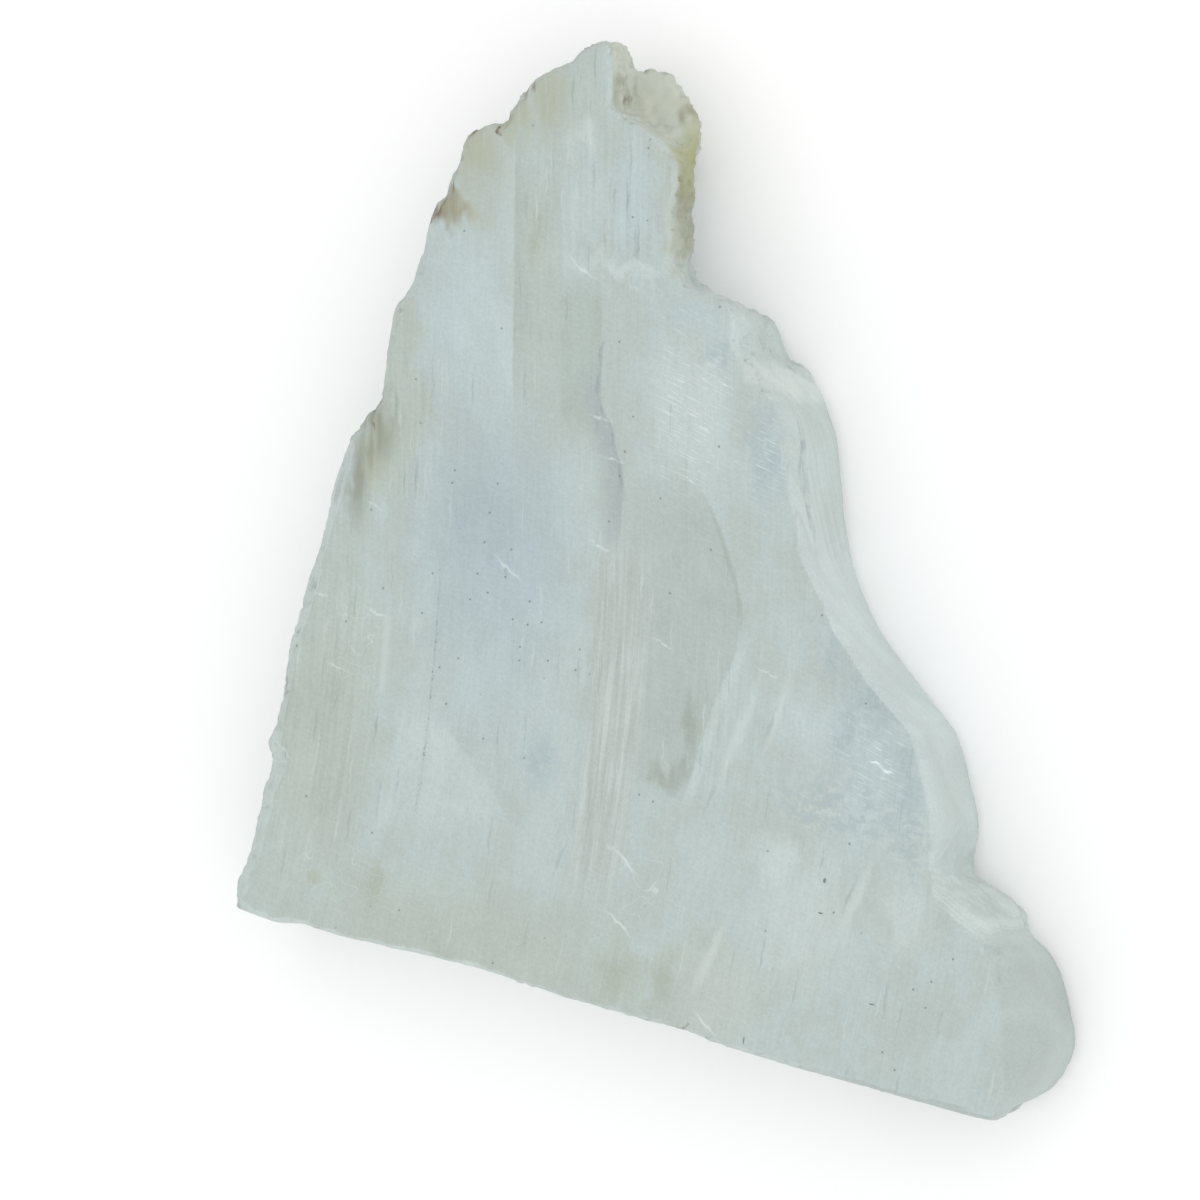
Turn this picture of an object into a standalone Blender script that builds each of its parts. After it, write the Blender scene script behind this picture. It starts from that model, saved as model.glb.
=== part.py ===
"""A selenite slab, one natural piece lying on its sawn back.

The front and back are sawn flat and polished, the lower edge is sawn straight, and the other sides
are left as they broke. x runs along the sawn lower edge, y up the fibres to the splintered tip, and
z through the thickness. The outlines are in millimetres from the lower left corner of the front
face, and the finished slab has the middle of its box over the origin.
"""

import math

import bmesh
import bpy
import numpy as np
from mathutils import Vector, noise

MM = 0.001

# Driving sizes in millimetres
THICKNESS = 20.0
BACK_CHAMFER = 0.5
BREAK_STEP = 1.35
SAWN_STEP = 4.0

# How a side falls from the polished face to its widest line: shares of the way out and of the drop
STEPPED = ((0.26, 0.08), (0.36, 0.40), (0.86, 0.60))
WALL = ((0.45, 0.12), (0.60, 0.48), (0.85, 0.80))
DOME = ((0.30, 0.03), (0.60, 0.13), (0.87, 0.40))
LEDGE = ((0.05, 0.42), (0.12, 0.82), (0.86, 0.90))
SAWN = ((0.35, 0.15), (0.70, 0.45), (0.90, 0.75))


class Side:
    """One stretch of the slab's edge, clockwise as seen from the front.

    rim is its widest line, and face its border on the polished face; with no face line, that border
    lies inset from the rim. height is the rim's over the back, rough the size of its small breaks,
    plates says how strongly the cleavage plates show under the rim, and lean is how far the back
    edge lies sideways of the rim.
    """

    def __init__(self, rim, height, fall, face=None, inset=0.0, rough=0.15, plates=1.0, lean=(0, 0)):
        self.rim = rim
        self.height = height
        self.fall = fall
        self.face = face
        self.inset = inset
        self.rough = rough
        self.plates = plates
        self.lean = lean


SIDES = (
    # Left side, from the sawn corner up past a small tooth
    Side(
        rim=((-0.5, -0.1), (-1.0, 0.5), (-1.3, 3.0), (-1.2, 4.8), (-0.6, 8.6), (-0.5, 12.5),
             (-0.9, 18.0), (-0.3, 20.6), (-0.5, 22.0), (-1.8, 23.5), (-1.8, 24.6), (-1.1, 26.4),
             (-1.1, 29.8), (-1.9, 37.5)),
        height=18.7, fall=STEPPED, inset=2.9,
    ),
    # Left side, nearly straight along the fibres
    Side(
        rim=((-1.9, 37.5), (-1.3, 40.8), (-1.1, 43.8), (-1.0, 48.6), (-0.5, 54.0), (-0.2, 59.5),
             (0.0, 65.5), (0.4, 70.0)),
        height=18.7, fall=STEPPED, inset=1.9,
    ),
    # A shoulder where plates have come away, and the side above it
    Side(
        rim=((0.4, 70.0), (1.2, 70.8), (1.7, 71.8), (1.9, 73.0), (2.4, 73.5), (3.7, 75.3),
             (3.5, 77.1), (3.3, 81.6), (2.9, 87.8), (3.2, 89.6), (4.4, 92.3), (5.3, 97.2),
             (5.2, 101.3), (5.8, 104.9)),
        height=18.7, fall=STEPPED, inset=1.6,
    ),
    # Weathered break up to the tip
    Side(
        rim=((5.8, 104.9), (6.6, 104.9), (6.4, 107.8), (7.0, 110.2), (7.2, 112.8), (7.8, 114.8),
             (9.2, 115.5), (10.6, 116.4), (12.6, 116.7), (13.2, 118.6), (14.4, 122.0),
             (15.8, 123.8), (17.2, 125.1)),
        height=18.3, fall=STEPPED, inset=1.4, rough=0.2,
    ),
    # The tip, its back broken away lower than its front
    Side(
        rim=((17.2, 125.1), (19.6, 126.6), (21.6, 128.4), (22.4, 129.9), (23.9, 131.0),
             (26.6, 131.7)),
        height=18.3, fall=STEPPED, inset=1.0, rough=0.2, plates=0.15, lean=(-2.0, -3.5),
    ),
    # Right of the tip the front layer has gone, and leaves a ledge over a leaning side
    Side(
        rim=((26.6, 131.7), (27.1, 130.3), (28.2, 128.9), (29.4, 128.1), (30.5, 129.0),
             (31.9, 129.3), (33.5, 129.4), (35.3, 127.8), (36.7, 126.1), (38.6, 124.6),
             (39.7, 122.8), (39.9, 121.0), (39.9, 119.0)),
        face=((26.6, 130.8), (27.6, 127.2), (28.5, 123.0), (28.4, 122.1), (29.4, 121.6),
              (31.0, 121.3), (33.5, 120.4), (36.1, 119.2), (38.0, 117.7), (38.8, 116.4)),
        height=13.0, fall=LEDGE, rough=0.2, plates=0.25, lean=(-4.0, -3.5),
    ),
    # The leaning side below the ledge
    Side(
        rim=((39.9, 119.0), (40.3, 116.3), (40.8, 114.6), (41.3, 112.6), (41.1, 110.4),
             (42.1, 108.0), (42.4, 106.5), (42.4, 103.5), (43.0, 101.7), (44.6, 100.7)),
        face=((38.8, 116.4), (39.8, 115.5), (40.3, 113.9), (40.6, 110.5), (40.9, 108.4),
              (41.7, 105.0), (42.4, 102.6), (44.9, 100.3)),
        height=13.0, fall=WALL, rough=0.2, lean=(-5.0, 0.0),
    ),
    # Short cut edge above the shoulder
    Side(
        rim=((44.6, 100.7), (45.3, 100.1), (48.5, 99.7), (51.6, 99.2), (53.2, 98.6)),
        height=18.0, fall=STEPPED, inset=0.5, rough=0.14, plates=0.6,
    ),
    # Shoulder, a small flat wall
    Side(
        rim=((53.2, 98.6), (54.1, 97.3), (55.1, 95.9), (55.7, 94.8), (56.7, 93.5)),
        face=((53.1, 98.4), (53.9, 96.1), (54.5, 93.4)),
        height=4.0, fall=WALL, rough=0.14, plates=0.4, lean=(-0.5, 0.0),
    ),
    # Crest of the right side, a facet that leans out
    Side(
        rim=((56.7, 93.5), (58.1, 93.1), (60.1, 92.7), (61.3, 91.4), (62.5, 90.1), (63.8, 88.3),
             (65.3, 85.9), (66.9, 82.9), (68.1, 79.2), (68.9, 77.0), (70.1, 73.2)),
        face=((54.5, 93.4), (55.4, 92.9), (56.9, 89.7), (59.7, 87.4), (63.3, 86.1), (65.0, 82.2),
              (67.0, 75.7), (68.9, 72.6)),
        height=4.0, fall=WALL, plates=0.4, lean=(-0.8, 0.0),
    ),
    # Right side, a long smooth wall
    Side(
        rim=((70.1, 73.2), (71.7, 69.4), (73.8, 65.6), (75.6, 63.0), (78.7, 59.4), (82.5, 56.2),
             (86.9, 52.7), (89.9, 50.4), (92.7, 48.2)),
        face=((68.9, 72.6), (71.2, 66.8), (73.4, 64.5), (75.4, 62.2), (77.4, 59.2), (80.4, 56.4),
              (82.8, 54.1), (85.4, 52.0), (88.8, 49.8), (91.6, 47.9)),
        height=3.5, fall=WALL, rough=0.06, plates=0.3, lean=(-0.6, 0.0),
    ),
    # Right side below a bend in the wall
    Side(
        rim=((92.7, 48.2), (94.5, 45.5), (96.4, 41.8), (97.8, 39.3), (98.9, 36.3), (99.3, 32.4),
             (99.5, 29.9)),
        face=((91.6, 47.9), (93.7, 44.2), (95.0, 41.8), (96.2, 39.3), (97.3, 36.8), (98.4, 32.9),
              (98.5, 30.5)),
        height=3.5, fall=WALL, rough=0.1, plates=0.3, lean=(-0.6, 0.0),
    ),
    # Flank of the foot, broken across the fibres
    Side(
        rim=((99.5, 29.9), (101.4, 29.4), (104.5, 28.5), (106.1, 27.9), (108.0, 26.7),
             (108.9, 24.4), (110.5, 23.2), (112.0, 22.6)),
        face=((98.5, 30.5), (100.1, 26.5), (104.2, 24.3), (108.3, 22.3), (110.9, 22.0)),
        height=5.0, fall=WALL, rough=0.2,
    ),
    # Rounded end of the foot
    Side(
        rim=((112.0, 22.6), (113.4, 21.5), (114.9, 19.6), (116.5, 16.9), (118.1, 13.7),
             (118.8, 12.2), (119.2, 10.3), (118.9, 7.6), (117.9, 4.7), (116.6, 2.6), (115.3, 1.5)),
        face=((110.9, 22.0), (110.2, 20.1), (110.3, 16.7), (111.3, 12.8), (112.9, 9.1),
              (115.0, 5.9), (115.9, 3.8), (115.2, 1.4)),
        height=4.0, fall=DOME, rough=0.1,
    ),
    # Worn end of the sawn edge
    Side(
        rim=((115.3, 1.5), (115.6, -0.1), (112.5, -0.4)),
        height=19.6, fall=STEPPED, inset=0.4, rough=0.1, plates=0.3, lean=(-2.0, 0.3),
    ),
    # Sawn lower edge
    Side(
        rim=((112.5, -0.4), (110.1, -0.5), (98.6, -0.4), (85.5, -0.5), (75.1, -0.2),
             (69.4, 0.5), (61.4, 0.4), (52.5, 0.3), (44.6, 0.7), (38.3, 1.0), (30.5, 0.8),
             (15.9, 0.1), (10.2, 0.4), (6.1, -0.5), (-0.5, -0.1)),
        height=19.6, fall=SAWN, inset=0.35, rough=0.0, plates=0.0,
    ),
)

# Sides rougher than this keep their corners, and smoother ones are worn to a curve
WORN = 0.13
BLEND = np.array([1, 2, 3, 2, 1]) / 9

# Cleavage plates under the rim: share of its height, and how far in
PLATES = ((0.82, 0.20), (0.78, 1.10), (0.55, 1.30), (0.50, 0.25), (0.26, 0.40), (0.21, 1.40))
PLATE_WAVE = 0.65
PLATE_WAVELENGTH = 17.0
BACK_DEPTH = 1.4

# Wavelengths of the breaks along the edge, and how much of each there is
CHIP_WAVELENGTH = 2.6
RISE_WAVELENGTH = 6.0
RISE = 3.0
WIDTH_WAVELENGTH = 9.0
WIDTH_WAVE = 0.35
BUMP_WAVELENGTH = 4.0
FACE_GAP = 0.1
SHARP_ANGLE = 25


def curve_through(points, parts=6):
    """A smooth curve through the points."""
    knots = [points[0], *points, points[-1]]
    line = []
    for before, start, end, after in zip(knots, knots[1:], knots[2:], knots[3:]):
        for part in range(parts):
            t = part / parts
            bend = 2 * before - 5 * start + 4 * end - after
            twist = 3 * start - before - 3 * end + after
            line.append(start + 0.5 * ((end - before) * t + bend * t**2 + twist * t**3))
    return [*line, points[-1]]


def subdivided(points, step):
    """The line with its corners kept and its long stretches cut into equal steps."""
    line = []
    for start, end in zip(points, points[1:]):
        cuts = max(1, round(np.linalg.norm(end - start) / step))
        line.extend(start + (end - start) * cut / cuts for cut in range(cuts))
    return np.array([*line, points[-1]])


def lengths_along(line):
    return np.concatenate([[0.0], np.cumsum(np.linalg.norm(np.diff(line, axis=0), axis=1))])


def at_shares(line, shares):
    """Points at these shares of the line's length."""
    line = np.array(line, float)
    run = lengths_along(line)
    return np.stack([np.interp(shares * run[-1], run, line[:, axis]) for axis in range(2)], axis=1)


def rim_line(side):
    """A side's rim as closely spaced points."""
    corners = [np.array(point, float) for point in side.rim]
    if side.fall is SAWN:
        return subdivided(corners, SAWN_STEP)
    if side.rough < WORN:
        curve = np.array(curve_through(corners))
        steps = round(lengths_along(curve)[-1] / BREAK_STEP)
        return at_shares(curve, np.linspace(0.0, 1.0, steps + 1))
    return subdivided(corners, BREAK_STEP)


def wave(positions, wavelength, row):
    """An uneven wave along the edge, of about -1 to 1. Each row is another one."""
    points = [Vector((at / wavelength, 3.7 * row + 1.6, 0.0)) for at in positions]
    return np.array([noise.fractal(point, 1.0, 2.0, 3) for point in points])


def inward_normals(line):
    """Directions into the slab, averaged over the neighbouring points of the closed line."""
    along = np.roll(line, -1, axis=0) - np.roll(line, 1, axis=0)
    for _ in range(2):
        along = (np.roll(along, 1, axis=0) + 2 * along + np.roll(along, -1, axis=0)) / 4
    along /= np.linalg.norm(along, axis=1)[:, None]
    return np.stack([along[:, 1], -along[:, 0]], axis=1)


def blended(values):
    """Values round the slab, each side's running over into its neighbours'."""
    reach = len(BLEND) // 2
    return sum(part * np.roll(values, shift, axis=0) for shift, part in enumerate(BLEND, -reach))


def edge_samples():
    """Round the slab: the rim and face points, each side's numbers, and its fall."""
    rims, faces, numbers, falls = [], [], [], []
    for side in SIDES:
        rim = rim_line(side)
        shares = lengths_along(rim)
        shares /= shares[-1]
        # The last point is the next side's first
        count = len(rim) - 1
        rims.append(rim[:count])
        border = at_shares(side.face, shares) if side.face else np.full(rim.shape, np.nan)
        faces.append(border[:count])
        traits = (side.height, side.inset, side.rough, side.plates, *side.lean)
        numbers.append(np.tile(traits, (count, 1)))
        falls.append(np.tile(side.fall, (count, 1, 1)))
    rims, faces, numbers, falls = map(np.concatenate, (rims, faces, numbers, falls))
    return rims, faces, blended(numbers), blended(falls)


def slab_rings():
    """The rings of the loft from the back up to the polished face, as points in millimetres."""
    rim, face, numbers, falls = edge_samples()
    height, inset, rough, plates = numbers[:, :4].T
    lean = numbers[:, 4:]
    run = lengths_along(rim)
    inward = inward_normals(rim)
    rim = rim + inward * (rough * wave(run, CHIP_WAVELENGTH, 0))[:, None]
    height = height + RISE * rough * wave(run, RISE_WAVELENGTH, 1)
    width = inset * (1.0 + WIDTH_WAVE * wave(run, WIDTH_WAVELENGTH, 2))
    face = np.where(np.isnan(face), rim + inward * width[:, None], face)

    def below_rim(share, depth):
        """Points this far in, the lean growing towards the back."""
        return rim + inward * depth[:, None] + lean * (1.0 - share)

    rings = [
        (below_rim(0.0, plates * BACK_DEPTH + BACK_CHAMFER), np.zeros(len(rim))),
        (below_rim(0.0, plates * BACK_DEPTH), np.full(len(rim), BACK_CHAMFER)),
    ]
    for index, (share, depth) in reversed(list(enumerate(PLATES))):
        uneven = 1.0 + PLATE_WAVE * wave(run, PLATE_WAVELENGTH, 3 + index // 2)
        rings.append((below_rim(share, plates * depth * uneven), height * share))
    rings.append((rim, height))
    for index in reversed(range(falls.shape[1])):
        out, down = falls[:, index].T
        bumps = rough * wave(run, BUMP_WAVELENGTH, 6 + index)
        level = THICKNESS - (THICKNESS - height) * down + bumps
        level = np.minimum(level, THICKNESS - FACE_GAP)
        rings.append((face + (rim - face) * out[:, None], level))
    rings.append((face, np.full(len(rim), THICKNESS)))
    return np.array([np.column_stack([across, level]) for across, level in rings])


def slab_mesh():
    """The loft as a closed mesh, in metres, with the middle of its box over the origin."""
    rings = slab_rings()
    low = rings.min(axis=(0, 1))
    high = rings.max(axis=(0, 1))
    rings -= ((low[0] + high[0]) / 2, (low[1] + high[1]) / 2, 0.0)
    mesh = bmesh.new()
    loops = [[mesh.verts.new(point * MM) for point in ring] for ring in rings]
    for lower, upper in zip(loops, loops[1:]):
        for start, end in zip(range(len(lower)), [*range(1, len(lower)), 0]):
            mesh.faces.new((lower[end], lower[start], upper[start], upper[end]))
    mesh.faces.new(loops[0])
    mesh.faces.new(reversed(loops[-1]))
    mesh.normal_update()
    bmesh.ops.triangulate(mesh, faces=mesh.faces[:], quad_method="SHORT_EDGE")
    data = bpy.data.meshes.new("selenite_slab")
    mesh.to_mesh(data)
    mesh.free()
    data.shade_smooth()
    data.set_sharp_from_angle(angle=math.radians(SHARP_ANGLE))
    return data


def selenite():
    """Cloudy grey-green selenite."""
    material = bpy.data.materials.new("selenite")
    material.use_nodes = True
    shader = material.node_tree.nodes["Principled BSDF"]
    shader.inputs["Base Color"].default_value = (0.50, 0.57, 0.55, 1.0)
    shader.inputs["Roughness"].default_value = 0.35
    shader.inputs["Metallic"].default_value = 0.0
    shader.inputs["IOR"].default_value = 1.52
    return material


for old in list(bpy.data.objects):
    bpy.data.objects.remove(old)

collection = bpy.data.collections.new("selenite_slab")
bpy.context.scene.collection.children.link(collection)
slab = bpy.data.objects.new("selenite_slab", slab_mesh())
slab.data.materials.append(selenite())
collection.objects.link(slab)
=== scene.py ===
"""A selenite slab lying on its sawn back, photographed from above and a little from its right."""
import math

import bmesh
import bpy
import numpy as np
from mathutils import Matrix, Vector, noise


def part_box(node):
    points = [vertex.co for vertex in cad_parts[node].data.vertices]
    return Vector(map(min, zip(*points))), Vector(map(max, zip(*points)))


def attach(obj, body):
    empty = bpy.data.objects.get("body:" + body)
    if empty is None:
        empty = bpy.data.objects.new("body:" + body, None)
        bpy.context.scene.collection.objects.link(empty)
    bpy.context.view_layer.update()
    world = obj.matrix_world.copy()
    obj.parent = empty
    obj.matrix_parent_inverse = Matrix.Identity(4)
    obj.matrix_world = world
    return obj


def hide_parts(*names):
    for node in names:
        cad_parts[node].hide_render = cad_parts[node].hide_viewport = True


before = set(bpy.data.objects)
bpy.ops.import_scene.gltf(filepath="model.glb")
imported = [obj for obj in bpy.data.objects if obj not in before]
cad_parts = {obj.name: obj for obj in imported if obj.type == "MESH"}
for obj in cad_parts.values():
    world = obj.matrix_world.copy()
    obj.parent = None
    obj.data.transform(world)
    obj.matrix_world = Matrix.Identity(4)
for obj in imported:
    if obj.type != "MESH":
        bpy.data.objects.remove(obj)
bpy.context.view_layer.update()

# The slab
# One natural piece of cloudy selenite, sawn flat and polished in front, and sawn behind and along its lower edge.
# Its other sides are left as they broke, in thin plates and long fibres that run up the slab.
MM = 0.001
LOWER_LEFT = np.array((58.69, 65.58, 0.0))  # from the lower left corner to the middle, in mm
FIBRE_LEAN = 0.234  # how far the fibres lean to the left for each mm up, in the slab's upper half
FIBRE_BEND_TOP = 65.0  # height at which they stop bending, in mm

# Sizes of the relief, in mm: the mesh's small faces, the plates, and how deep each kind of break goes
GRAIN = 0.57
PLATE = 1.9
FIBRE_DEPTH = 0.10
RIB_DEPTH = 0.26
PLATE_DEPTH = 0.38
PIT_DEPTH = 0.9
CRUMB_DEPTH = 0.13
TIP_CRUMB_DEPTH = 0.30
FLANK_LINE_DEPTH = 0.34
GROOVE_DEPTH = 0.45
GROOVE_HEIGHT = 16.3


def across_fibres(x, y):
    """Place across the fibres, which bend and lean to the left towards the tip."""
    low = np.minimum(y, FIBRE_BEND_TOP)
    lean = FIBRE_LEAN / (2 * FIBRE_BEND_TOP) * low**2
    return x + lean + FIBRE_LEAN * np.maximum(y - FIBRE_BEND_TOP, 0.0)


def smooth_step(start, end, values):
    """0 before start, 1 after end, and smooth between them."""
    share = np.clip((values - start) / (end - start), 0.0, 1.0)
    return share * share * (3 - 2 * share)


def uneven(points, seed, detail=3):
    """Fractal noise of about -1 to 1 at each point."""
    away = Vector((seed, 0, seed))
    return np.array([noise.fractal(Vector(point) + away, 1.0, 2.0, detail) for point in points])


def grained_mesh():
    """The solid's surface cut into small even faces, with its corners eased."""
    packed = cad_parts["selenite_slab"].data
    welded = bmesh.new()
    welded.from_mesh(packed)
    bmesh.ops.remove_doubles(welded, verts=welded.verts, dist=0.01 * MM)
    blank = bpy.data.meshes.new("slab_blank")
    welded.to_mesh(blank)
    welded.free()
    blank_piece = bpy.data.objects.new("slab_blank", blank)
    bpy.context.scene.collection.objects.link(blank_piece)
    cut = blank_piece.modifiers.new("grain", "REMESH")
    cut.mode = "VOXEL"
    cut.voxel_size = GRAIN * MM
    cut.adaptivity = 0.0
    eased = blank_piece.modifiers.new("ease", "SMOOTH")
    eased.factor = 0.5
    eased.iterations = 3
    seen = blank_piece.evaluated_get(bpy.context.evaluated_depsgraph_get())
    mesh = bpy.data.meshes.new_from_object(seen)
    bpy.data.objects.remove(blank_piece)
    return mesh


def work_over(mesh):
    """Moves the surface of the broken sides in and out, and keeps it inside the solid's box."""
    count = len(mesh.vertices)
    spots = np.empty(count * 3)
    mesh.vertices.foreach_get("co", spots)
    spots = spots.reshape(-1, 3) / MM
    facing = np.empty(count * 3)
    mesh.vertex_normals.foreach_get("vector", facing)
    facing = facing.reshape(-1, 3)
    x, y, z = (spots + LOWER_LEFT).T
    u = across_fibres(x, y)

    # Shares of each place in the broken sides, the sawn lower edge and the parts of the right-hand side
    broken = 1.0 - smooth_step(0.90, 0.985, np.abs(facing[:, 2]))
    sawn = smooth_step(2.2, 1.0, y) * smooth_step(-0.9, -0.97, facing[:, 1])
    right_side = smooth_step(0.1, 0.4, facing[:, 0]) * smooth_step(58, 64, x)
    smooth_wall = right_side * smooth_step(33, 37, y)
    foot = right_side * smooth_step(27, 22, y)
    flank = right_side * smooth_step(22, 26, y) * smooth_step(39, 35, y)
    tip_ledge = smooth_step(96, 102, y) * smooth_step(18.5, 16.5, z)

    # The breaks themselves
    fibres = uneven(np.column_stack([u / 0.9, y / 16, z / 0.9]), 3.1)
    ribs = uneven(np.column_stack([u / 3.2, y / 34, z / 2.6]), 7.7)
    plate = np.floor(z / PLATE + 0.9 * uneven(np.column_stack([u / 30, y / 22, z * 0]), 11.3))
    steps = uneven(np.column_stack([plate * 5.31, y / 13, u / 19]), 17.9)
    pits = np.maximum(uneven(spots / 1.6, 23.5), 0.25) - 0.25
    crumbs = uneven(spots / 1.1, 29.3, 4)
    slant = np.column_stack([(0.48 * x + 0.88 * y + 0.5 * z) / 0.75, (0.88 * x - 0.48 * y) / 12, z * 0])
    flank_lines = uneven(slant, 31.7)
    groove_line = np.abs(z - GROOVE_HEIGHT + 1.2 * ribs)
    groove = smooth_wall * smooth_step(70, 73, y) * smooth_step(88, 84, y) * smooth_step(0.9, 0.3, groove_line)

    # The right-hand side broke much more evenly than the others
    depth = FIBRE_DEPTH * fibres + RIB_DEPTH * ribs + PLATE_DEPTH * steps - PIT_DEPTH * pits
    depth += CRUMB_DEPTH * crumbs
    depth = depth * (1.0 - 0.94 * smooth_wall - 0.88 * foot - 0.6 * flank)
    depth += FLANK_LINE_DEPTH * flank * flank_lines
    depth -= GROOVE_DEPTH * groove
    move = broken * (1.0 - 0.85 * sawn) * depth + TIP_CRUMB_DEPTH * tip_ledge * crumbs
    spots += facing * move[:, None]
    low = np.array(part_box("selenite_slab")[0]) / MM
    high = np.array(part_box("selenite_slab")[1]) / MM
    spots = np.clip(spots, low, high)
    mesh.vertices.foreach_set("co", (spots * MM).ravel())
    mesh.update()


slab_mesh = grained_mesh()
work_over(slab_mesh)
slab_mesh.shade_smooth()
slab = bpy.data.objects.new("slab", slab_mesh)
bpy.context.scene.collection.objects.link(slab)
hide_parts("selenite_slab")
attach(slab, "root")

# Its stone is milky and bluish inside, with silky fibres, veils, healed cracks and some iron stain
stone = bpy.data.materials.new("selenite")
stone.use_nodes = True
tree = stone.node_tree
tree.nodes.clear()


class Shade:
    """Something that changes over the stone, worked with as a number is."""

    def __init__(self, socket):
        self.socket = socket

    @classmethod
    def node(cls, kind, settings=None, sockets=None, out=0):
        """A node with its settings made first, then the values or links of its sockets."""
        made = tree.nodes.new(kind)
        for name, value in (settings or {}).items():
            setattr(made, name, value)
        for name, value in (sockets or {}).items():
            if isinstance(value, Shade):
                tree.links.new(value.socket, made.inputs[name])
            else:
                made.inputs[name].default_value = value
        return cls(made.outputs[out])

    @classmethod
    def work(cls, operation, *values):
        return cls.node("ShaderNodeMath", {"operation": operation}, dict(enumerate(values)))

    def beside(self, out):
        """Another output of the same node."""
        return Shade(self.socket.node.outputs[out])

    def __add__(self, other):
        return Shade.work("ADD", self, other)

    def __sub__(self, other):
        return Shade.work("SUBTRACT", self, other)

    def __rsub__(self, other):
        return Shade.work("SUBTRACT", other, self)

    def __mul__(self, other):
        return Shade.work("MULTIPLY", self, other)

    def __truediv__(self, other):
        return Shade.work("DIVIDE", self, other)

    __radd__ = __add__
    __rmul__ = __mul__


def stepped(value, start, end, low=0.0, high=1.0):
    """low before start, high after end, and smooth between them."""
    limits = {"Value": value, "From Min": start, "From Max": end, "To Min": low, "To Max": high}
    return Shade.node("ShaderNodeMapRange", {"interpolation_type": "SMOOTHSTEP"}, limits)


def near_zero(value, start, end, most=1.0):
    """most where the value is within start of zero, nothing past end, and smooth between them."""
    return stepped(Shade.work("ABSOLUTE", value), start, end, most, 0.0)


def window(value, start, end, fade):
    """1 between start and end, nothing outside, and a fade as wide as twice the last number."""
    return stepped(value, start - fade, start + fade) * stepped(value, end - fade, end + fade, 1.0, 0.0)


def joined(x, y):
    return Shade.node("ShaderNodeCombineXYZ", None, {"X": x, "Y": y})


def tinted(under, over, share):
    """One colour laid over another."""
    return Shade.node("ShaderNodeMix", {"data_type": "VECTOR"}, {0: share, 4: under, 5: over}, out=1)


def vector_work(operation, *values, out=0, **named):
    sockets = {**dict(enumerate(values)), **named}
    return Shade.node("ShaderNodeVectorMath", {"operation": operation}, sockets, out)


def along(spot, way):
    """How far a spot lies along a way, counted in the way's own steps."""
    return vector_work("DOT_PRODUCT", spot, way, out="Value")


# Places on the stone in millimetres from its lower left corner, straight and along the bent fibres
object_place = Shade.node("ShaderNodeTexCoord", out="Object")
place = vector_work("MULTIPLY_ADD", object_place, (1 / MM, 1 / MM, 1 / MM), tuple(LOWER_LEFT))
x = Shade.node("ShaderNodeSeparateXYZ", None, {0: place}, out="X")
y, z = x.beside("Y"), x.beside("Z")
low_y = Shade.work("MINIMUM", y, FIBRE_BEND_TOP)
high_y = Shade.work("MAXIMUM", y - FIBRE_BEND_TOP, 0.0)
u = x + low_y * low_y * (FIBRE_LEAN / (2 * FIBRE_BEND_TOP)) + high_y * FIBRE_LEAN
drawn = joined(u + z * 0.8, y + z * 0.3)


def flat_noise(spot, detail, roughness):
    sockets = {"Vector": spot, "Scale": 1.0, "Detail": detail, "Roughness": roughness}
    return Shade.node("ShaderNodeTexNoise", {"noise_dimensions": "2D"}, sockets)


def cloud(across, up, seed, detail=3.0, roughness=0.55):
    """Noise of 0 to 1 drawn out along the fibres, with its sizes in millimetres."""
    spot = vector_work("MULTIPLY_ADD", drawn, (1 / across, 1 / up, 0.0), (seed, seed, 0.0))
    return flat_noise(spot, detail, roughness)


ragged = cloud(3.0, 6.0, 4.0, 2.0) - 0.5
torn = cloud(0.8, 2.4, 9.0, 2.0) - 0.5
ragged_place = joined(u + ragged * 4.2 + torn * 0.7, y + ragged * 7.0)
crisp_place = joined(u + torn * 0.9, y + ragged * 1.4)


def reach(spot, ovals):
    """Distance from the nearest of some ovals, 0 in its middle and 1 at its rim."""
    nearest = None
    for across, up, half_width, half_length in ovals:
        sizes = (1 / half_width, 1 / half_length, 0.0)
        middle = (-across / half_width, -up / half_length, 0.0)
        off = vector_work("LENGTH", vector_work("MULTIPLY_ADD", spot, sizes, middle), out="Value")
        nearest = off if nearest is None else Shade.work("MINIMUM", nearest, off)
    return nearest


def patches(*ovals, core=0.1, most=1.0):
    """Ragged patches, each given by its place across and up the fibres and its half width and length."""
    return stepped(reach(ragged_place, ovals), core, 1.25, most, 0.0)


def lines(turn, half_length, half_width, *places, most=1.0):
    """Hair-thin lines of one angle and size that fade at their ends, given by their places."""
    sine, cosine = math.sin(math.radians(turn)), math.cos(math.radians(turn))
    run_way = (cosine / half_length, sine / half_length, 0.0)
    off_way = (-sine / half_width, cosine / half_width, 0.0)
    spot = joined(along(crisp_place, run_way), along(crisp_place, off_way))
    nearest = None
    for across, up in places:
        middle = (across * run_way[0] + up * run_way[1], across * off_way[0] + up * off_way[1], 0.0)
        away = vector_work("DISTANCE", spot, middle, out="Value")
        nearest = away if nearest is None else Shade.work("MINIMUM", nearest, away)
    return stepped(nearest, 0.0, 1.0, most, 0.0)


def course(points, low, high):
    """Place across the fibres of a line that follows the points, given as (up, across)."""
    ramp = tree.nodes.new("ShaderNodeFloatCurve")
    start = points[0][0]
    span = points[-1][0] - start
    shares = [((up - start) / span, (across - low) / (high - low)) for up, across in points]
    curve = ramp.mapping.curves[0]
    curve.points[0].location = shares[0]
    curve.points[1].location = shares[-1]
    for share in shares[1:-1]:
        curve.points.new(*share)
    ramp.mapping.update()
    tree.links.new(((y - start) / span).socket, ramp.inputs["Value"])
    return Shade(ramp.outputs[0]) * (high - low) + low


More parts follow.
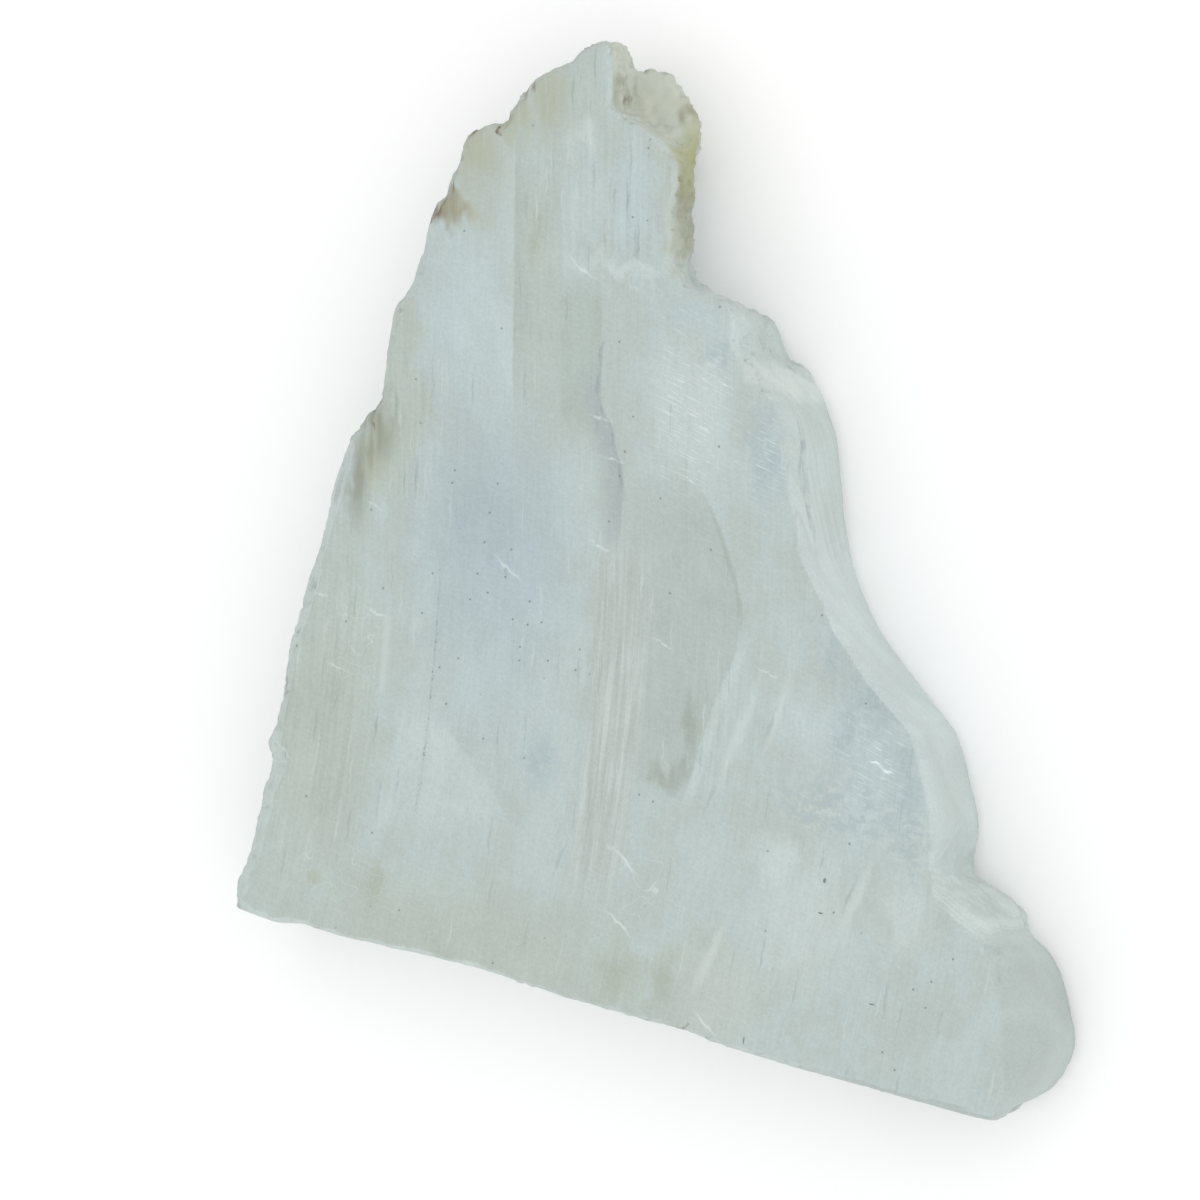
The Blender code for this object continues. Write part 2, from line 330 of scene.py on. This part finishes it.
def dots(spot, scale):
    """Distance from the nearest of many scattered dots, and a random number of that dot's own."""
    sockets = {"Vector": spot, "Scale": scale}
    cells = Shade.node("ShaderNodeTexVoronoi", {"voronoi_dimensions": "2D"}, sockets, out="Distance")
    chance = Shade.node("ShaderNodeSeparateColor", None, {0: cells.beside("Color")}, out=0)
    return cells, chance


# Fibres and grain that the layers below share
soft = cloud(8.0, 11.0, 41.0, 3.0)
fibre = cloud(0.75, 20.0, 12.0, 2.0)
hair = cloud(0.26, 6.0, 21.0, 1.0)
mottle = cloud(1.7, 1.2, 61.0, 2.0, 0.65)
grain_sockets = {"Vector": place, "Scale": 2.37, "Detail": 2.0, "Roughness": 0.65}
grain = Shade.node("ShaderNodeTexNoise", None, grain_sockets)
light_fibres = stepped(fibre, 0.50, 0.68)
dark_fibres = stepped(fibre, 0.48, 0.32)
jag = torn * 0.5
over_ridge = u + jag

# Ground colours, with warmer stone round the rim and bluer stone in the middle
NEUTRAL = (0.410, 0.468, 0.445)
COOL = (0.408, 0.481, 0.470)
OLIVE = (0.388, 0.433, 0.384)
BLUE_GREY = (0.411, 0.496, 0.504)
warm_rim = patches((8, 28, 10, 32), (34, 4, 30, 10), (17, 74, 5, 13), (18, 87, 4, 7), most=0.85)
blue_middle = patches(
    (33, 50, 14, 30), (27.5, 87, 8, 17), (62, 96.5, 7, 3.5), (53, 110, 4, 9), (90, 42, 9, 13), most=0.85,
)
colour = tinted(NEUTRAL, COOL, stepped(soft, 0.40, 0.62))
colour = tinted(colour, OLIVE, warm_rim)
colour = tinted(colour, BLUE_GREY, blue_middle)

# Milky veils with a painted sheen among them where the polish catches the light, and a pale wedge low on the left
# between three straight cracks
MILK = (0.478, 0.548, 0.533)
PALE_BLUE = (0.443, 0.518, 0.518)
WEDGE = (0.448, 0.522, 0.512)
colour = tinted(colour, PALE_BLUE, patches((30, 88, 5.5, 13), (81, 45, 4.5, 6), most=0.8))
under_crack = stepped(y + u * 0.88 + ragged * 3.0, 55.8, 57.0, 1.0, 0.0)
under_crack = under_crack * stepped(y + ragged * 6.0, 31.0, 34.0, 1.0, 0.0)
wedge = under_crack * stepped(u + ragged * 4.0, 18.0, 20.5) * stepped(y - u * 0.3 + ragged * 5.0, 8.5, 13.5)
colour = tinted(colour, WEDGE, wedge * 0.8)
# The veil at (62.5, 83) is painted sheen: light on the polish, painted into the colour.
veils_and_sheen = patches(
    (83.5, 19, 7.5, 11), (78.5, 26, 5, 4), (97.5, 23.5, 5, 6.5), (62.5, 83, 7, 12), (52, 100.6, 8, 1.6),
    (45.9, 117, 2.4, 3), most=0.9,
)
colour = tinted(colour, MILK, veils_and_sheen)

# Deep blue windows
LILAC = (0.335, 0.408, 0.441)
NAVY = (0.345, 0.421, 0.438)
LOW_BEIGE = (0.424, 0.470, 0.434)
colour = tinted(colour, LILAC, patches((32, 60, 14, 19), core=0.0, most=0.75))
navy_windows = patches(
    (90.5, 50.5, 6, 5), (86.5, 46, 2, 5), (73.8, 79.5, 3.2, 8), (66.3, 91.5, 1.6, 3), (96, 41, 2.6, 8),
    (84, 56, 2.4, 5), (42, 31, 3.4, 5), most=0.9,
)
colour = tinted(colour, NAVY, stepped(mottle, 0.38, 0.56, 0.5, 1.0) * navy_windows)
colour = tinted(colour, LOW_BEIGE, patches((73, 6, 9, 10), most=0.8))

# Plates side by side in the upper half: warm grey, then olive, each ending at a straight line
WARM_GREY = (0.392, 0.445, 0.419)
OLIVE_GREY = (0.362, 0.419, 0.388)
grey_plate = window(over_ridge, 35.0, 42.4, 0.25) * window(y, 79.0, 114.0, 6.0)
olive_plate = window(over_ridge, 42.4, 48.6, 0.3) * window(y, 78.0, 97.0, 3.0)
colour = tinted(colour, WARM_GREY, grey_plate * 0.85)
colour = tinted(colour, OLIVE_GREY, olive_plate * 0.9)

# An inner crystal whose right-hand edge is a curved healed crack, with painted shadow along it above and bright
# below
INNER = (0.377, 0.434, 0.415)
DEEP_AND_SHADE = (0.291, 0.331, 0.291)
inner_edge = course(
    [(28.0, 62.5), (33.0, 64.3), (39.0, 65.5), (44.0, 66.8), (48.5, 68.2), (54.0, 70.0), (58.0, 70.0),
     (61.0, 69.3), (63.5, 68.5), (66.5, 67.4), (69.5, 66.0), (71.5, 64.8), (75.0, 62.5)],
    60.0, 72.0,
)
past_edge = u - inner_edge
inner = stepped(past_edge, -0.4, 0.1, 0.95, 0.0) * stepped(u + ragged * 4.0, 53.0, 58.0)
colour = tinted(colour, INNER, inner * window(y, 32.0, 72.0, 4.0))
deep = patches((63.6, 41, 1.6, 6), (61.2, 34, 4, 2.2), (54.8, 37, 0.9, 6), most=0.8)
colour = tinted(colour, DEEP_AND_SHADE, deep * stepped(past_edge, -0.4, 0.1, 1.0, 0.0))
# Painted shadow of the crack along the upper part of the edge.
colour = tinted(colour, DEEP_AND_SHADE, near_zero(past_edge + jag, 0.1, 0.6) * window(y, 56.0, 72.0, 2.5) * 0.5)
colour = tinted(colour, MILK, near_zero(past_edge - 0.7, 0.3, 1.0, 0.55) * window(y, 31.0, 53.0, 3.0))

# Beige fibre bands up the middle
BEIGE = (0.412, 0.454, 0.430)
band = stepped(over_ridge, 48.4, 48.9) * stepped(u + ragged * 4.0, 54.0, 58.0, 1.0, 0.0)
band = band * window(y, 17.0, 62.0, 5.0)
colour = tinted(colour, BEIGE, band * 0.85)
colour = tinted(colour, MILK, band * light_fibres * 0.45)
colour = tinted(colour, OLIVE_GREY, band * dark_fibres * 0.45)

# A jagged dark crack beside the plates, with painted shade over the stone just to its left
SHADE_AND_DARK_LINES = (0.261, 0.313, 0.313)
DARK_GREY = (0.337, 0.393, 0.388)
jagged = course(
    [(60.0, 50.8), (66.5, 51.9), (70.5, 52.0), (73.8, 51.6), (75.0, 51.0), (78.3, 50.3), (80.7, 48.8),
     (83.0, 48.1), (84.6, 48.3), (87.4, 48.5), (89.5, 48.8), (91.0, 49.3)],
    46.0, 54.0,
)
off_crack = u - jagged + jag
crack = near_zero(off_crack + jag, 0.05, 0.5, 0.7) * window(y, 70.0, 90.0, 1.5)
# Painted shade over a band of stone just left of the crack.
painted_step_shade = stepped(off_crack, -4.5, -0.5) * stepped(off_crack, -0.1, 0.2, 1.0, 0.0)
colour = tinted(colour, DARK_GREY, painted_step_shade * window(y, 63.0, 86.0, 4.0) * 0.8)
colour = tinted(colour, SHADE_AND_DARK_LINES, crack * stepped(torn, -0.12, 0.05, 0.35, 1.0))

# Olive and brown places near the bottom and the tip
OLIVE_DEEP = (0.359, 0.399, 0.333)
olive_places = patches(
    (58.5, 5.5, 5, 6), (65, 6.5, 3, 5), (11, 8, 2, 2), (20, 8.5, 1.5, 4), (38.3, 102.5, 1.2, 5),
    (14.4, 73, 2.8, 6), most=0.8,
)
colour = tinted(colour, OLIVE_DEEP, olive_places)

# Tone along the fibres, stronger where the stone is fibrous, with a painted highlight and painted shade either side
# of a ridge, and an even fine grain
fibrous = patches((8, 35, 9, 30), (19, 72, 5, 14), (50, 40, 4, 22), (68, 42, 5, 12), (50, 112, 14, 14), core=0.3)
painted_ridge_highlight = stepped(over_ridge, 32.0, 34.9) * stepped(over_ridge, 34.9, 35.1, 1.0, 0.0)
painted_ridge_shade = stepped(over_ridge, 34.9, 35.1) * stepped(over_ridge, 35.1, 37.5, 1.0, 0.0)
tone = (soft - 0.5) * 0.17 + (grain - 0.5) * 0.26 + (hair - 0.5) * 0.09
tone = tone + (fibre - 0.5) * (fibrous * 0.17 + 0.05)
# Painted highlight on the ridge's left and painted shade on its right.
tone = tone + (painted_ridge_highlight - painted_ridge_shade) * window(y, 80.0, 117.0, 4.0) * 0.05
colour = vector_work("SCALE", colour, Scale=tone + 1.0)

# Mottled stone near the right-hand side, with dark loops and pale flecks
mottled_zone = patches((87, 35, 12, 5), (97, 33, 4, 6), most=0.9)
colour = tinted(colour, NAVY, mottled_zone * stepped(mottle, 0.50, 0.60) * 0.8)
colour = tinted(colour, MILK, mottled_zone * stepped(mottle, 0.42, 0.33) * 0.7)

# Wispy healed cracks wherever the noise crosses its middle
WISP = (0.66, 0.72, 0.71)
wisps = near_zero(cloud(5.0, 4.0, 71.0, 1.0) - 0.5, 0.0, 0.012)
wisp_zone = patches((11, 42, 8, 10), (60, 18, 12, 10), (56, 100, 8, 3), (16, 10, 12, 8), most=0.35)
colour = tinted(colour, WISP, wisps * wisp_zone)

# Streaks along the fibres: the plain ones in their places, and hair-thin ones wherever they fall
DARK_DOTS = (0.16, 0.18, 0.17)
LIGHT_FIBRE = (0.60, 0.67, 0.65)
STREAK_LENGTH = 15.0
STREAK_WIDTH = 0.8
dark_lines = lines(
    90.0, 4.0, 0.35, (18.2, 65), (20.1, 65.5), (16.8, 75), (7.0, 28), (2.9, 22.5), (16.5, 30), (47.2, 127.5),
    (43.8, 123), (52.4, 110), (54.0, 104), most=0.65,
)
colour = tinted(colour, SHADE_AND_DARK_LINES, dark_lines)
dotted_crack = near_zero(u - 24.3 + jag, 0.05, 0.32, 0.75) * window(y, 20.0, 54.0, 3.0)
colour = tinted(colour, DARK_DOTS, dotted_crack * stepped(grain, 0.55, 0.65, 0.14, 1.0))
colour = tinted(colour, MILK, near_zero(u - 16.6 + jag, 0.2, 0.9, 0.6) * window(y, 35.0, 46.0, 0.8))
streak_spot = vector_work("MULTIPLY", crisp_place, (1 / STREAK_WIDTH, 1 / STREAK_LENGTH, 0.0))
off_streak, streak_chance = dots(streak_spot, 1.0)
near_streak = stepped(off_streak, 0.06, 0.24, 1.0, 0.0)
streak_share = fibrous * 0.18 + 0.04
colour = tinted(colour, SHADE_AND_DARK_LINES, near_streak * stepped(streak_chance - streak_share, 0.0, 0.01, 0.36, 0.0))
colour = tinted(colour, MILK, near_streak * stepped(streak_chance + streak_share, 0.99, 1.0, 0.0, 0.6))
leaning_light = lines(75.0, 9.0, 1.1, (70.2, 40), (71.8, 44), (76.4, 46), (90.4, 24), (71.2, 11.5), most=0.36)
leaning_dark = lines(75.0, 4.0, 0.4, (67.6, 32), (89.4, 24), (46.8, 18.5), (75.4, 44), most=0.45)
colour = tinted(colour, LIGHT_FIBRE, leaning_light)
colour = tinted(colour, SHADE_AND_DARK_LINES, leaning_dark)

# Healed cracks that cross the fibres, some of them painted glints, and painted white glints on their lips
WHITE = (0.78, 0.85, 0.86)
CROSS_HEALED = (0.66, 0.73, 0.72)
SLANT_HEALED = (0.68, 0.74, 0.73)
# The crossing lines at (48.6, 79.6), (61.9, 74) and (67, 88) are painted glints.
crossing_cracks_and_glints = lines(
    -12.0, 2.6, 0.3, (5.1, 46.7), (14.7, 45.9), (9.5, 37), (13.5, 60.5), (48.6, 79.6), (50.4, 74.3),
    (48.6, 62.3), (58.8, 51), (61.9, 74), (67.0, 88), (74.0, 87.5), (74.5, 50.6), most=0.55,
)
# The slant line at (34.7, 56.1) is a painted glint.
slant_cracks_and_glint = lines(
    -32.0, 3.6, 0.3, (56.3, 21), (57.3, 12.1), (1.8, 24.2), (45.6, 99.4), (72.2, 2.2), (34.7, 56.1), most=0.5,
)
colour = tinted(colour, CROSS_HEALED, crossing_cracks_and_glints * stepped(grain, 0.40, 0.55, 0.35, 1.0))
colour = tinted(colour, SLANT_HEALED, slant_cracks_and_glint)
# Painted white glints.
colour = tinted(colour, WHITE, lines(-14.0, 1.5, 0.28, (91.0, 42.3), (92.6, 41.7), most=0.8))

# Scratches of the polish: short bright hairs across the face, painted as highlights, thickest where the light
# catches them
SCRATCH_TURN = math.radians(-13.0)
SCRATCH_LENGTH = 3.2
SCRATCH_WIDTH = 0.22
scratch_sine, scratch_cosine = math.sin(SCRATCH_TURN), math.cos(SCRATCH_TURN)
scratch_run = along(place, (scratch_cosine / SCRATCH_LENGTH, scratch_sine / SCRATCH_LENGTH, 0.0))
scratch_off = along(place, (-scratch_sine / SCRATCH_WIDTH, scratch_cosine / SCRATCH_WIDTH, 0.0))
scratches = flat_noise(joined(scratch_run, scratch_off), 1.0, 0.5)
normal = Shade.node("ShaderNodeNewGeometry", out="Normal")
face_up = Shade.node("ShaderNodeSeparateXYZ", None, {0: normal}, out="Z")
polished = stepped(Shade.work("ABSOLUTE", face_up), 0.93, 0.99)
hairs = stepped(scratches, 0.60, 0.72) * polished
scratch_highlight_zone = patches((62.5, 83, 8, 14), (74, 80, 4, 9), (90, 42, 7, 7)) * 0.26 + 0.05
# Painted highlight on the scratches, strongest over the sheen.
colour = tinted(colour, WHITE, hairs * scratch_highlight_zone)

# Black specks of trapped clay, and a few larger marks near the face
CLAY = (0.13, 0.15, 0.16)
off_speck, speck_chance = dots(place, 0.45)
speck_zone = patches((33, 50, 14, 22)) * 0.24 + 0.012
specks = stepped(off_speck, 0.04, 0.10, 0.75, 0.0) * stepped(speck_chance - speck_zone, 0.0, 0.02, 1.0, 0.0)
off_mark = reach(crisp_place, (
    (85.6, 25.2, 0.2, 0.4), (85.7, 21.1, 0.45, 0.14), (95.1, 10.5, 0.3, 0.15), (78.3, 1.4, 0.2, 0.5),
    (86.8, -0.2, 0.3, 0.3),
))
marks = stepped(off_mark, 0.5, 1.1, 0.9, 0.0) * stepped(z, 17.5, 19.0)
colour = tinted(colour, CLAY, Shade.work("MAXIMUM", specks, marks))

# The broken sides are painted paler than the polish, as painted light on the walls, and darker and smoother on the
# foot's round
PAINTED_LIGHT_WALL = (0.515, 0.586, 0.577)
LOW_WALL = (0.460, 0.524, 0.508)
TOP_WALL = (0.470, 0.528, 0.508)
LEFT_WALL = (0.488, 0.560, 0.540)
FLANK = (0.520, 0.588, 0.568)
FOOT = (0.372, 0.422, 0.406)
CREST = (0.560, 0.612, 0.585)
FLANK_LINE_GAP = 0.40
FLANK_LINE_LENGTH = 9.0
broken = 1.0 - polished
on_right = stepped(x, 84.0, 96.0)
# The pale wall colour is painted light, standing for the light the sides catch.
wall = tinted(LOW_WALL, PAINTED_LIGHT_WALL, stepped(y, 41.0, 51.0))
wall = tinted(wall, TOP_WALL, stepped(y, 66.0, 76.0))
wall = tinted(wall, LEFT_WALL, stepped(x, 45.0, 35.0) * stepped(y, 60.0, 50.0))
flank_zone = window(y, 22.5, 30.5, 1.5) * on_right
across_lines = along(place, (0.43 / FLANK_LINE_GAP, 0.90 / FLANK_LINE_GAP, 0.10 / FLANK_LINE_GAP))
along_lines = along(place, (0.90 / FLANK_LINE_LENGTH, -0.43 / FLANK_LINE_LENGTH, 0.0))
flank_lines = flat_noise(joined(across_lines, along_lines), 2.0, 0.6)
wall = tinted(wall, tinted(LOW_WALL, FLANK, stepped(flank_lines, 0.38, 0.58)), flank_zone)
wall = tinted(wall, FOOT, stepped(y, 25.5, 20.0) * on_right)
wall = vector_work("SCALE", wall, Scale=(grain - 0.5) * 0.30 + (soft - 0.5) * 0.30 + 1.0)
wall_share = (fibre * 0.5 + 0.50) * stepped(y, 66.0, 80.0, 1.0, 0.72)
colour = tinted(colour, wall, broken * Shade.work("MAXIMUM", wall_share, flank_zone * 0.9))
colour = tinted(colour, CREST, patches((75.5, 90.3, 5.5, 2.4), most=0.8))

# A groove along the upper part of the right-hand wall with painted shade in it, and pale fibres above it
grooved = broken * window(y, 68.0, 88.0, 2.0) * stepped(x, 62.0, 66.0)
groove = near_zero(z - GROOVE_HEIGHT + ragged * 5.0, 0.3, 1.3, 0.55) * stepped(torn, -0.15, 0.10, 0.2, 1.0)
colour = tinted(colour, DARK_GREY, grooved * dark_fibres * 0.25)
# Painted shade in the groove.
colour = tinted(colour, SHADE_AND_DARK_LINES, grooved * groove)
colour = tinted(colour, MILK, grooved * stepped(z, 15.6, 18.0) * light_fibres * 0.8)

# Iron stain where the stone weathered, near the polished face: the tip, the notch and the left edge
STRAW = (0.362, 0.377, 0.265)
STRONG_STRAW = (0.320, 0.331, 0.169)
BROWN = (0.275, 0.271, 0.188)
NOTCH_BROWN = (0.235, 0.255, 0.205)
TIP_LEDGE = (0.472, 0.497, 0.420)
RUST = (0.151, 0.087, 0.041)
near_face = stepped(z + ragged * 16.0, 8.0, 16.5, 0.12, 1.0)
stain_streaks = stepped(fibre + ragged * 0.5, 0.28, 0.60, 0.60, 1.0) * stepped(near_face, 0.0, 1.0, 0.3, 1.0)
under_plate = stepped(z, 17.6, 19.4, 1.0, 0.08)
straw = patches(
    (29, 113, 5, 7), (27, 104, 4.5, 3), (40, 122, 3.5, 7), (35, 118, 4, 5), (56, 125, 5, 3), (13, 68, 3, 8),
    (60, 106, 2.5, 6), most=0.75,
)
colour = tinted(colour, STRAW, straw * stain_streaks)
colour = tinted(colour, NOTCH_BROWN, patches((13.4, 71.5, 4.2, 6.5), (11.0, 64, 2.2, 8), most=0.85) * stain_streaks)
colour = tinted(colour, BROWN, patches((25.0, 103.5, 3, 2.6), most=0.95) * stain_streaks)
colour = tinted(colour, TIP_LEDGE, under_plate * stepped(y, 112.0, 118.0) * stepped(x, 20.0, 26.0) * 0.8)
tip_brown = patches((59.8, 112, 2.6, 7), (49.8, 124.5, 1.0, 3), (59.5, 124, 1.6, 2.4), most=0.95)
colour = tinted(colour, BROWN, tip_brown * under_plate * 0.9)
colour = tinted(colour, STRONG_STRAW, patches((60.4, 117.5, 3.0, 6.5)) * under_plate)
rust = patches(
    (23.0, 103.4, 1.5, 2.0), (12.6, 70.4, 0.35, 0.9), (37.4, 122.6, 0.6, 1.2), (35.8, 120.5, 0.5, 0.8),
    (32.6, 116.6, 0.8, 1.0), (24.6, 105.8, 0.6, 1.4), (28, 115, 0.5, 1.2), (69, 0.7, 0.9, 0.5),
    (60.6, 115, 0.4, 3.0), core=0.0,
)
colour = tinted(colour, RUST, rust * near_face * stepped(torn, -0.15, 0.15, 0.6, 1.0))

# The polish shines softly, and the broken sides are duller and rougher
roughness = 0.36 + broken * 0.20 + (grain - 0.5) * 0.14 + hairs * 0.12
relief = grain * (0.6 - 0.45 * polished)
bump = Shade.node("ShaderNodeBump", None, {"Height": relief, "Strength": 0.5, "Distance": 0.2 * MM})
shader = tree.nodes.new("ShaderNodeBsdfPrincipled")
shader.inputs["IOR"].default_value = 1.52
tree.links.new(colour.socket, shader.inputs["Base Color"])
tree.links.new(roughness.socket, shader.inputs["Roughness"])
tree.links.new(bump.socket, shader.inputs["Normal"])
stone_out = tree.nodes.new("ShaderNodeOutputMaterial")
tree.links.new(shader.outputs[0], stone_out.inputs["Surface"])
slab.data.materials.clear()
slab.data.materials.append(stone)

# The table
# A plain white surface that the slab lies on, reaching far past the picture's edges.
REACH = 3.0
corners = [(-REACH, -REACH, 0), (REACH, -REACH, 0), (REACH, REACH, 0), (-REACH, REACH, 0)]
floor_mesh = bpy.data.meshes.new("floor")
floor_mesh.from_pydata(corners, [], [(0, 1, 2, 3)])
floor = bpy.data.objects.new("floor", floor_mesh)
floor_paint = bpy.data.materials.new("white_table")
floor_paint.use_nodes = True
floor_shader = floor_paint.node_tree.nodes["Principled BSDF"]
floor_shader.inputs["Base Color"].default_value = (0.93, 0.93, 0.93, 1.0)
floor_shader.inputs["Roughness"].default_value = 0.8
floor_mesh.materials.append(floor_paint)
bpy.context.scene.collection.objects.link(floor)

# The light
# A white tent all round the slab, lit softly and evenly, and a little brighter on the slab's right.
LAMP_WAY = (0.80, -0.15, 0.58)
world = bpy.data.worlds.new("tent")
world.use_nodes = True
tree = world.node_tree
towards_lamp = along(Shade.node("ShaderNodeTexCoord", out="Generated"), LAMP_WAY)
tent_light = vector_work("SCALE", (1.0, 1.0, 1.0), Scale=stepped(towards_lamp, -0.5, 1.0, 0.86, 1.34))
tree.links.new(tent_light.socket, tree.nodes["Background"].inputs["Color"])
world.cycles.sampling_method = "NONE"
bpy.context.scene.world = world
bpy.context.scene.view_settings.view_transform = "Standard"

# The camera
# It looks down on the slab from a little to the slab's right, with the slab turned as in the photograph.
camera_data = bpy.data.cameras.new("camera")
camera_data.lens = 135.0
camera_data.sensor_width = 36.0
camera = bpy.data.objects.new("camera", camera_data)
right_way = Vector((0.9059, 0.2230, -0.3600))
up_way = Vector((-0.2199, 0.9742, 0.0500))
back_way = Vector((0.3619, 0.0339, 0.9316))
camera_place = (Vector((269.0, 76.1, 600.4)) - Vector(LOWER_LEFT)) * MM
turned = Matrix((right_way, up_way, back_way)).transposed().to_4x4()
camera.matrix_world = Matrix.Translation(camera_place) @ turned
bpy.context.scene.collection.objects.link(camera)
bpy.context.scene.camera = camera
